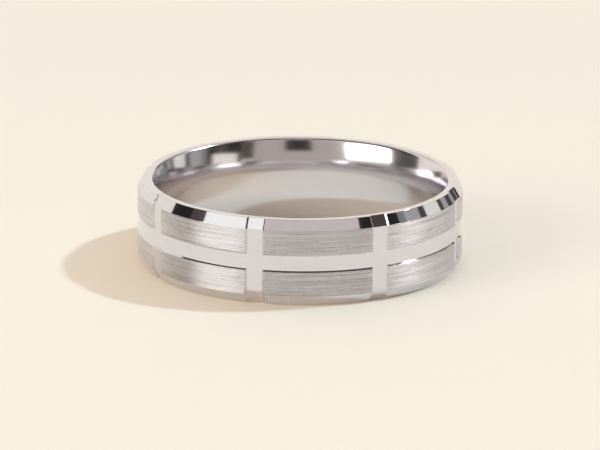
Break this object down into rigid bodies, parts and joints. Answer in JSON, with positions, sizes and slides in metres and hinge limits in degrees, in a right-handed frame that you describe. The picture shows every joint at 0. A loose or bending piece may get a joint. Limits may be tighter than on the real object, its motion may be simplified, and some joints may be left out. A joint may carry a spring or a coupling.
{
  "type": "wedding band",
  "caption": "Flat finger ring with bevelled polished edges, brushed outer blocks, a polished groove round it, polished cross channels and a comfort-fit bore.",
  "frame": {"origin": "on the finger axis, at the level of the lower edge face that the ring rests on", "axes": "+Z along the finger axis, -Y towards the front, with the first cross channel 15.8 degrees to the left of it"},
  "size_m": [0.0226, 0.0226, 0.006],
  "materials": {
    "white_gold": "white gold: mirror-polished bevels, edges, channels and bore, satin-brushed outer blocks"
  },
  "bodies": {
    "root": {"band": "white_gold"}
  },
  "joints": []
}
